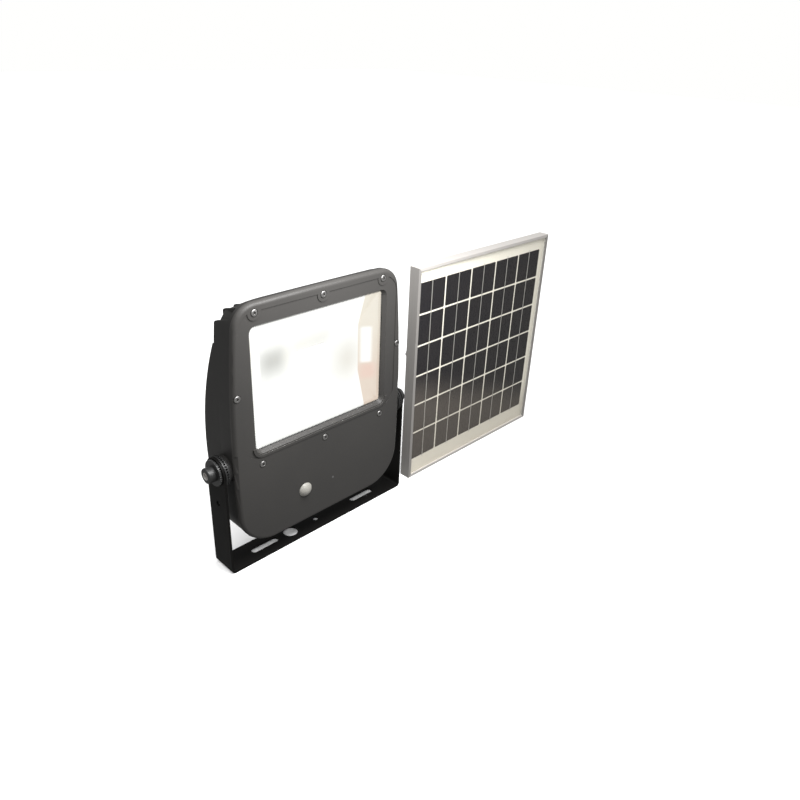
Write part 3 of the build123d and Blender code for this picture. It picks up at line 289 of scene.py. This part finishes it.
disc_finish = Finish("black_anodised", Metallic=0.6, Specular_IOR_Level=0.5)
disc_cloud = disc_finish.noise(300.0, 5.0)
disc_finish.set(Base_Color=disc_finish.mix(disc_cloud, grey(0.015), grey(0.05)))
disc_finish.set(Roughness=disc_cloud * 0.25 + 0.3)
disc_finish.bump(disc_finish.noise(2200.0, 2.0), 0.00005, 0.4)
rounded_copy("arm_tooth_discs", disc_finish.material, "bracket", 0.00012, 1)
rounded_copy("lamp_tooth_discs", disc_finish.material, "lamp", 0.00012, 1)
rounded_copy("pivot_washers", disc_finish.material, "lamp", 0.00035)

bolt_low, bolt_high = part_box("pivot_bolts")
pivot_z = (bolt_low[2] + bolt_high[2]) / 2
bolt_finish = Finish("black_oxide_bolt", Metallic=0.7)
bolt_y, bolt_z = bolt_finish.axes()[1:]
socket_radius = 0.0049
above_pivot = bolt_z - pivot_z
off_axis = bolt_finish.node(
    "ShaderNodeMath", {"operation": "POWER"}, bolt_y * bolt_y + above_pivot * above_pivot, 0.5)
in_socket = off_axis < socket_radius
bolt_wear = bolt_finish.noise(420.0, 5.0)
bolt_tone = bolt_finish.mix(bolt_wear, grey(0.02), grey(0.06))
bolt_finish.set(Base_Color=bolt_finish.mix(in_socket * 0.9, bolt_tone, grey(0.62, 0.03)))
bolt_finish.set(Roughness=0.42 - in_socket * 0.15 + bolt_wear * 0.12)
bolt_finish.bump(bolt_wear, 0.00004, 0.4)
rounded_copy("pivot_bolts", bolt_finish.material, "lamp", 0.0003)

# ---- Rear housing and its fins ----
# A die-cast aluminium tray whose back carries tall arched fins, all powder coated with the cover.
# Casting leaves soft edges, a slightly uneven skin and a fine grain in the paint.
casting_paint = powder_coat("casting_paint", 0.016, 0.25, 0.5, 0.00009)
rounded_copy("rear_housing", casting_paint, "lamp", 0.0006)
rounded_copy("cooling_fins", casting_paint, "lamp", 0.0008, 3)

# ---- LED: thermal pad, board, chip, phosphor and screws ----
# A white aluminium-core board pressed on to the housing carries one large chip under yellow
# phosphor, lit. All of it lies under the square hole of the reflector.
pad_finish = Finish("thermal_pad")
pad_finish.set(Base_Color=pad_finish.mix(pad_finish.noise(900.0), grey(0.42), grey(0.5)))
pad_finish.set(Roughness=0.78 + pad_finish.noise(400.0, 4.0) * 0.14)
pad_finish.bump(pad_finish.noise(1800.0), 0.00005, 0.4)
node_finish(pad_finish.material, "thermal_pad")

board_white = Finish("white_solder_mask")
board_white.set(Base_Color=board_white.mix(board_white.noise(60.0), grey(0.78), grey(0.86)))
board_white.set(Roughness=0.26 + board_white.noise(200.0, 4.0) * 0.1)
board_white.bump(board_white.noise(1200.0), 0.00002, 0.3)
node_finish(board_white.material, "led_board", "led_chip")

phosphor = Finish("lit_phosphor", Emission_Strength=1.8)
chip_spots = phosphor.node("ShaderNodeTexVoronoi", {}, Vector=phosphor.place, Scale=420.0)
phosphor.set(Base_Color=phosphor.mix(chip_spots, (1.0, 0.8, 0.3, 1.0), (0.95, 0.68, 0.2, 1.0)))
phosphor.set(Roughness=0.34 + phosphor.noise(300.0) * 0.14)
phosphor.bump(chip_spots, 0.00005, 0.4)
phosphor.set(Emission_Color=phosphor.mix(chip_spots, (1.0, 0.97, 0.9, 1.0), (1.0, 0.9, 0.7, 1.0)))
node_finish(phosphor.material, "led_glow")

steel = Finish("stainless_screws", Metallic=1.0)
steel_cloud = steel.noise(500.0, 4.0)
steel.set(Base_Color=steel.mix(steel_cloud, grey(0.5, 0.02), grey(0.72, 0.02)))
steel.set(Roughness=0.2 + steel_cloud * 0.18)
steel.bump(steel.noise(2600.0, 2.0), 0.00002, 0.3)
node_finish(steel.material, "led_screws", "reflector_screws", "board_screws")

# ---- Reflector ----
# Bright aluminium pressed into steep outer walls and a shallow inner pyramid round the LED.
# Its light is painted: it glows by itself in an emission colour that is white nearly all over,
# with painted shade patches and a warm painted glow on its right-hand end wall.
reflector_low, reflector_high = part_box("reflector")
window_z = (reflector_low[2] + reflector_high[2]) / 2
# The emission paints the LED's light on the reflector, which is no lamp: its colour is painted light and
# shade.
mirror = Finish("bright_reflector_painted_glow", Metallic=1.0, Emission_Strength=1.0)
mirror_x, mirror_y, mirror_z = mirror.axes()


def soft_step(finish, value, start, end):
    """0 below start, 1 above end, smooth between."""
    smooth = {"interpolation_type": "SMOOTHSTEP"}
    return finish.node("ShaderNodeMapRange", smooth, value, start, end, 0.0, 1.0)


def soft_patch(left, right, below, above, blur):
    """A soft-edged rectangle of painted light or shade on the reflector; below and above are heights from
    the window's middle.
    """
    patch = 1
    for value, start, end in ((mirror_x, left, right), (mirror_z, window_z + below, window_z + above)):
        patch = patch * soft_step(mirror, value, start - blur, start + blur)
        patch = patch * (1 - soft_step(mirror, value, end - blur, end + blur))
    return patch


# Painted light and shade in the emission colour: white painted light over most of it, painted shade patches
# at the left, the upper middle and the inner right, and on the right-hand end wall a warm painted glow,
# lighter higher up, with a pink painted blush and a white painted highlight.
end_wall_x = 0.078
wall_half_height = 0.05
lamp_white = (1.0, 1.0, 0.98, 1.0)
end_wall = soft_step(mirror, mirror_x, end_wall_x - 0.0005, end_wall_x + 0.0005)
end_light = soft_patch(0.081, 0.094, -0.022, 0.029, 0.003)
end_painted_pink_light = soft_patch(0.080, 0.1, -0.046, -0.024, 0.006)
left_shade = soft_patch(-0.078, -0.04, 0.004, 0.036, 0.016)
inner_right_painted_shade = soft_patch(0.04, end_wall_x, -0.034, 0.012, 0.022)
upper_painted_warm_shade = soft_patch(-0.03, 0.03, 0.02, 0.042, 0.012)
lit = mirror.mix(left_shade * 0.62, lamp_white, (0.3, 0.3, 0.27, 1.0))
lit = mirror.mix(upper_painted_warm_shade * 0.25, lit, (0.5, 0.46, 0.36, 1.0))
lit = mirror.mix(inner_right_painted_shade * 0.42, lit, (0.5, 0.44, 0.33, 1.0))
up_the_wall = soft_step(mirror, mirror_z, window_z - wall_half_height, window_z + wall_half_height)
end_wall_painted_light = mirror.mix(up_the_wall, (0.74, 0.62, 0.52, 1.0), (0.8, 0.74, 0.64, 1.0))
end_wall_painted_light = mirror.mix(end_painted_pink_light * 0.5, end_wall_painted_light, (0.8, 0.5, 0.42, 1.0))
end_wall_painted_light = mirror.mix(end_light, end_wall_painted_light, lamp_white)
mirror.set(Base_Color=mirror.mix(mirror.noise(60.0), grey(0.3, 0.02), grey(0.36, 0.01)))
mirror.set(Emission_Color=mirror.mix(end_wall, lit, end_wall_painted_light))
hammer = mirror.node("ShaderNodeTexVoronoi", {"feature": "SMOOTH_F1"}, Vector=mirror.place, Scale=330.0)
mirror.set(Roughness=0.2 + mirror.noise(120.0, 4.0) * 0.1)
mirror.bump(hammer, 0.0004, 0.5)
node_finish(mirror.material, "reflector")

# ---- Battery: cells, trays and straps ----
# Blue sleeved lithium cells in two moulded trays, held down by zinc-plated straps.
# Eight cells lie across the lower half of the housing, out of sight behind the cover.
sleeve = Finish("cell_sleeve", Coat_Weight=0.3)
sleeve.set(Base_Color=sleeve.mix(sleeve.noise(70.0), (0.02, 0.09, 0.3, 1.0), (0.03, 0.14, 0.42, 1.0)))
sleeve.set(Roughness=0.26 + sleeve.noise(160.0, 4.0) * 0.14)
sleeve.bump(sleeve.noise(240.0), 0.0001, 0.4)
node_finish(sleeve.material, "battery_cells")


def moulded(name, tone, roughness):
    """Injection-moulded plastic with a fine spark-eroded grain."""
    plastic = Finish(name, Specular_IOR_Level=0.4)
    cloud = plastic.noise(40.0, 4.0)
    plastic.set(Base_Color=plastic.mix(cloud, grey(tone * 0.85), grey(tone * 1.25)))
    plastic.set(Roughness=roughness + cloud * 0.12 - 0.06)
    plastic.bump(plastic.noise(1900.0, 3.0), 0.00006, 0.5)
    return plastic.material


node_finish(moulded("tray_plastic", 0.05, 0.55), "battery_trays")
zinc = Finish("zinc_strap", Metallic=0.9)
zinc.set(Base_Color=zinc.mix(zinc.noise(120.0, 5.0), grey(0.42, 0.02), grey(0.62)))
zinc.set(Roughness=0.3 + zinc.noise(90.0) * 0.2)
zinc.bump(zinc.noise(700.0, 3.0), 0.00004, 0.3)
node_finish(zinc.material, "battery_straps")

# ---- Control board, its components and the infrared sensor ----
# A green board on four standoffs charges the battery, drives the LED and reads the sensor.
# The sensor's nickel can faces the milky lens in the cover.
board_green = Finish("green_solder_mask")
tracks = board_green.node("ShaderNodeTexBrick", {}, Vector=board_green.stretched(300.0, 300.0, 300.0))
track_mask = tracks.part("Fac")
board_green.set(Base_Color=board_green.mix(track_mask, (0.012, 0.12, 0.03, 1.0), (0.03, 0.22, 0.07, 1.0)))
board_green.set(Roughness=0.3 + board_green.noise(150.0, 4.0) * 0.12)
board_green.bump(track_mask, 0.00004, 0.4)
node_finish(board_green.material, "control_board")
node_finish(moulded("component_black", 0.035, 0.45), "board_components")
nickel = Finish("nickel_can", Metallic=1.0)
nickel.set(Base_Color=nickel.mix(nickel.noise(200.0), (0.58, 0.55, 0.48, 1.0), (0.7, 0.67, 0.6, 1.0)))
nickel.set(Roughness=0.25 + nickel.noise(500.0) * 0.1)
nickel.bump(nickel.noise(900.0, 3.0), 0.00002, 0.3)
node_finish(nickel.material, "sensor_can")

# ---- Cable gland and vent plug ----
# Black nylon fittings screwed through the housing's back: the gland clamps the panel's lead on
# a rubber sleeve, and the vent lets the lamp breathe.
nylon = moulded("black_nylon", 0.02, 0.48)
rounded_copy("gland_cap", nylon, "lamp", 0.0004)
node_finish(nylon, "gland_body", "gland_nut", "vent_plug")
rubber = Finish("seal_rubber", Specular_IOR_Level=0.3)
rubber.set(Base_Color=rubber.mix(rubber.noise(300.0), grey(0.018), grey(0.04)))
rubber.set(Roughness=0.74 + rubber.noise(220.0, 4.0) * 0.12)
rubber.bump(rubber.noise(1500.0), 0.00006, 0.5)
node_finish(rubber.material, "gland_seal", "body_gasket", "glass_gasket")


# ---- Window glass and its printed border ----
# Clear tempered glass behind the cover. A black ceramic print is fired on to its face: a band that
# the window's rim hides, with sawtooth edges that reach a little past it.
def clear_glass(name, tint, reflection, painted_reflection_below=None):
    """Clear glass: open, with a reflection that grows at grazing angles, and a painted brown reflection low
    on a panel.
    """
    glass = Finish(name)
    smudge = glass.noise(14.0, 4.0)
    facing = glass.node("ShaderNodeLayerWeight", {}, Blend=0.5).part("Facing")
    grazing = glass.node("ShaderNodeMath", {"operation": "POWER"}, facing, 5.0)
    gloss = glass.node("ShaderNodeBsdfGlossy", {}, Color=(1.0, 1.0, 1.0, 1.0), Roughness=0.04)
    open_part = glass.node("ShaderNodeBsdfTransparent", {}, Color=tint)
    factor = (grazing * 0.96 + 0.04) * reflection * (0.8 + smudge * 0.4)
    blend = glass.node("ShaderNodeMixShader", {}, factor, open_part, gloss)
    if painted_reflection_below is not None:
        # Painted reflection: a brownish diffuse veil over the lower part of the panel's glass, with a
        # sloping, cloudy top edge, stands in for a brown surface mirrored there.
        x, y, z = glass.axes()
        reflection_middle = 0.33
        reflection_slope = 0.35
        fade = 0.035
        height = z + (x - reflection_middle) * reflection_slope + smudge * 0.02
        painted_reflection_veil = 1 - soft_step(glass, height, painted_reflection_below - fade, painted_reflection_below + fade)
        dust = glass.node("ShaderNodeBsdfDiffuse", {}, Color=(0.42, 0.37, 0.32, 1.0))
        blend = glass.node("ShaderNodeMixShader", {}, painted_reflection_veil * 0.09, blend, dust)
    output = next(node for node in glass.tree.nodes if node.type == "OUTPUT_MATERIAL")
    glass.tree.links.new(blend.socket, output.inputs["Surface"])
    glass.tree.nodes.remove(glass.shader)
    return glass.material


node_finish(clear_glass("window_glass", (0.985, 0.99, 0.985, 1.0), 0.8), "window_glass")
glass_low, glass_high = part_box("window_glass")
glass_overlap = 0.006
tooth_pitch = 0.0023
tooth_length = 0.0022
hidden_width = 0.003
print_relief = 0.00008
print_finish = Finish("ceramic_print")
print_finish.set(Base_Color=print_finish.mix(print_finish.noise(800.0), grey(0.012), grey(0.03)))
print_finish.set(Roughness=0.5 + print_finish.noise(500.0, 4.0) * 0.12)
print_finish.bump(print_finish.noise(2000.0, 2.0), 0.00002, 0.3)
rim_x = glass_high[0] - glass_overlap
rim_z = (glass_high[2] - glass_low[2]) / 2 - glass_overlap
border = bmesh.new()
for turn, along, across in ((0, rim_x, rim_z), (1, rim_z, rim_x), (2, rim_x, rim_z), (3, rim_z, rim_x)):
    teeth = 4 * round(along / tooth_pitch)
    strip = bmesh.ops.create_grid(border, x_segments=teeth, y_segments=1, size=0.5)["verts"]
    for vert in strip:
        inner_edge = vert.co.y < 0
        column = round((vert.co.x + 0.5) * teeth)
        vert.co.x *= 2 * along
        vert.co.y = across + (-tooth_length * (column % 2) if inner_edge else hidden_width)
        vert.co.z = 0.0
    bmesh.ops.rotate(border, verts=strip, matrix=Matrix.Rotation(turn * pi / 2, 3, "Z"))
bmesh.ops.rotate(border, verts=border.verts, matrix=Matrix.Rotation(pi / 2, 3, "X"))
bmesh.ops.translate(border, verts=border.verts, vec=(0.0, glass_low[1] - print_relief, window_z))
add_piece("glass_border_print", border, print_finish.material, "lamp", smooth=False)

# ---- Front cover ----
# The die-cast front, in the same paint as the housing, a touch smoother on its flat face.
# Eight screws hold it, and a raised sill runs under the window.
cover_paint = powder_coat("cover_paint", 0.038, 0.18, 0.42, 0.00007)
rounded_copy("front_cover", cover_paint, "lamp", 0.0007, 3)

# ---- Sensor lens, its ring and the indicator ----
# A milky domed lens moulded with small facets stands out of the cover's lower half.
# A smoked light pipe shows as a dot beside it.
milky = Finish("milky_lens", Specular_IOR_Level=0.4)
facets = milky.node("ShaderNodeTexVoronoi", {"feature": "DISTANCE_TO_EDGE"}, Vector=milky.place, Scale=290.0)
facet_line = facets < 0.05
milky.set(Base_Color=milky.mix(facet_line * 0.35, (0.27, 0.26, 0.235, 1.0), grey(0.16)))
milky.set(Roughness=0.38 + milky.noise(400.0, 4.0) * 0.1)
milky.bump(facets, 0.0006, 0.6)
node_finish(milky.material, "sensor_lens")
node_finish(moulded("ring_plastic", 0.03, 0.5), "sensor_ring")
smoked = Finish("smoked_pipe")
smoked.set(Base_Color=smoked.mix(smoked.noise(900.0), grey(0.07), grey(0.12)))
smoked.set(Roughness=0.16 + smoked.noise(700.0) * 0.1)
smoked.bump(smoked.noise(1600.0), 0.00002, 0.3)
node_finish(smoked.material, "indicator_pipe")

# ---- Cover screws ----
# Stainless button-head screws with hexagon sockets, sunk in round recesses of the cover.
# The heads are bright, and the sockets and the heads' sides, a little further back, are painted dark:
# painted shade in the recesses.
screw_low, screw_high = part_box("cover_screws")
head_steel = Finish("socket_head_steel", Metallic=1.0)
head_y = head_steel.axes()[1]
# Painted shade: the colour darkens and roughens with depth behind the heads' fronts, in the sockets and
# round the heads in their recesses.
recess_painted_shade = soft_step(head_steel, head_y, screw_low[1] + 0.0003, screw_low[1] + 0.0013)
head_cloud = head_steel.noise(600.0, 4.0)
head_tone = head_steel.mix(head_cloud, grey(0.2, 0.02), grey(0.34, 0.02))
head_steel.set(Base_Color=head_steel.mix(recess_painted_shade * 0.85, head_tone, grey(0.06, 0.05)))
head_steel.set(Roughness=0.36 + head_cloud * 0.16 + recess_painted_shade * 0.2)
head_steel.bump(head_steel.noise(2600.0, 2.0), 0.00002, 0.3)
rounded_copy("cover_screws", head_steel.material, "lamp", 0.0002)

# ---- Solar panel laminate ----
# Tempered glass, clear film, five by six black cells with a tinned ribbon down each column,
# and a white backsheet that shows between the cells.
white_sheet = Finish("white_backsheet")
sheet_cloud = white_sheet.noise(30.0)
white_sheet.set(Base_Color=white_sheet.mix(sheet_cloud, (0.83, 0.81, 0.76, 1.0), (0.87, 0.85, 0.8, 1.0)))
white_sheet.set(Roughness=0.44 + white_sheet.noise(120.0, 4.0) * 0.14)
white_sheet.bump(white_sheet.noise(900.0), 0.00004, 0.3)
node_finish(white_sheet.material, "backsheet")

silicon = Finish("silicon_cells", Specular_IOR_Level=0.2)
cell_z = silicon.axes()[2]
finger_spacing = 0.001
finger_half_width = 0.00012
finger = silicon.node("ShaderNodeMath", {"operation": "PINGPONG"}, cell_z, finger_spacing)
finger_line = finger < finger_half_width
crystal = silicon.noise(26.0, 3.0)
silicon_tone = silicon.mix(crystal, (0.006, 0.006, 0.01, 1.0), (0.013, 0.011, 0.014, 1.0))
silicon.set(Base_Color=silicon.mix(finger_line * 0.1, silicon_tone, grey(0.35)))
silicon.set(Roughness=0.26 + crystal * 0.1)
silicon.bump(silicon.noise(1300.0, 2.0), 0.00002, 0.3)
node_finish(silicon.material, "solar_cells")

tinned = Finish("tinned_ribbon", Metallic=0.8)
tinned.set(Base_Color=tinned.mix(tinned.noise(400.0, 4.0), grey(0.55), grey(0.78)))
tinned.set(Roughness=0.35 + tinned.noise(700.0) * 0.2)
tinned.bump(tinned.noise(1200.0, 3.0), 0.00002, 0.3)
node_finish(tinned.material, "cell_ribbons")

pane_low, pane_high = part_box("panel_glass")
ribbon_low, ribbon_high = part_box("cell_ribbons")
pane_edge = 0.0004
fused_gap = 0.00005
# Height of the painted brown reflection on the panel's glass.
painted_reflection_height = 0.11
pane = bmesh.new()
bmesh.ops.create_cube(pane, size=1.0)
pane_size = Vector(pane_high) - Vector(pane_low)
pane_size.y = ribbon_low[1] - fused_gap - pane_low[1]
bmesh.ops.scale(pane, vec=pane_size, verts=pane.verts)
bmesh.ops.bevel(pane, geom=pane.edges[:], offset=pane_edge, affect="EDGES",
                segments=2, profile=0.5, material=-1)
pane_middle = (Vector(pane_low) + Vector(pane_high)) / 2
pane_middle.y = pane_low[1] + pane_size.y / 2
bmesh.ops.translate(pane, vec=pane_middle, verts=pane.verts)
pane_glass = clear_glass("panel_pane", (0.985, 0.98, 0.96, 1.0), 0.22, pane_low[2] + painted_reflection_height)
add_piece("panel_pane", pane, pane_glass, "panel",
          hides=("panel_glass", "encapsulant"), smooth=False)

sealant = Finish("silicone_bead")
sealant.set(Base_Color=sealant.mix(sealant.noise(200.0), grey(0.62), grey(0.72)))
sealant.set(Roughness=0.52 + sealant.noise(90.0, 4.0) * 0.16)
sealant.bump(sealant.noise(320.0), 0.0001, 0.4)
node_finish(sealant.material, "panel_sealant")


# ---- Panel frame ----
# Four satin anodised extrusions, mitred at the corners on pressed-in keys. The rolling grain of
# the anodising runs along each rail. The upright rails are painted darker and the level rails and
# keys lighter: painted shade and painted light on one anodising.
def anodised(name, tone, grain):
    """Satin anodised aluminium with faint drawing lines along one axis."""
    metal = Finish(name, Metallic=0.35)
    lines = metal.noise(1.0, 4.0, metal.stretched(*grain))
    cloud = metal.noise(18.0, 4.0)
    metal.set(Base_Color=metal.mix(lines, grey(tone * 0.88, 0.05), grey(tone * 1.08, 0.045)))
    metal.set(Roughness=0.34 + lines * 0.12 + cloud * 0.1)
    metal.bump(lines, 0.00003, 0.35)
    return metal.material


# Lit and shaded copies of one anodising: tone 0.27 is painted shade on the upright rails, 0.5 painted light
# on the level rails and the corner keys.
upright_painted_shade_metal = anodised("rail_upright_grain_painted_shade", 0.27, (1600.0, 1600.0, 12.0))
level_painted_light_metal = anodised("rail_level_grain_painted_light", 0.5, (12.0, 1600.0, 1600.0))
for rail, metal in (("panel_rail_left", upright_painted_shade_metal), ("panel_rail_right", upright_painted_shade_metal),
                    ("panel_rail_top", level_painted_light_metal), ("panel_rail_bottom", level_painted_light_metal)):
    rounded_copy(rail, metal, "panel", 0.00035)
node_finish(level_painted_light_metal, "corner_keys")

# ---- Junction box ----
# A black box glued to the backsheet, where the panel's lead would leave through a small gland.
# Its lid is held by four small screws.
box_plastic = moulded("junction_plastic", 0.02, 0.5)
for part_name in ("junction_box", "junction_lid", "junction_gland"):
    rounded_copy(part_name, box_plastic, "panel", 0.0004)
node_finish(steel.material, "junction_screws")

# ---- Crossbar and folding stay ----
# A flat aluminium bar bolted across the frame carries two ears. The channel-shaped stay swings
# between them on a bolt with a wing nut, and ends in a foot with two holes.
bar_metal = anodised("bar_grain", 0.6, (14.0, 900.0, 1300.0))
rounded_copy("stay_crossbar", bar_metal, "panel", 0.0004)
stay_metal = anodised("stay_grain", 0.58, (1300.0, 900.0, 14.0))
rounded_copy("panel_stay", stay_metal, "stay", 0.0004)
for part_name in ("crossbar_bolts", "crossbar_nuts", "stay_bolt", "stay_wing_nut"):
    rounded_copy(part_name, steel.material, "panel", 0.0003)
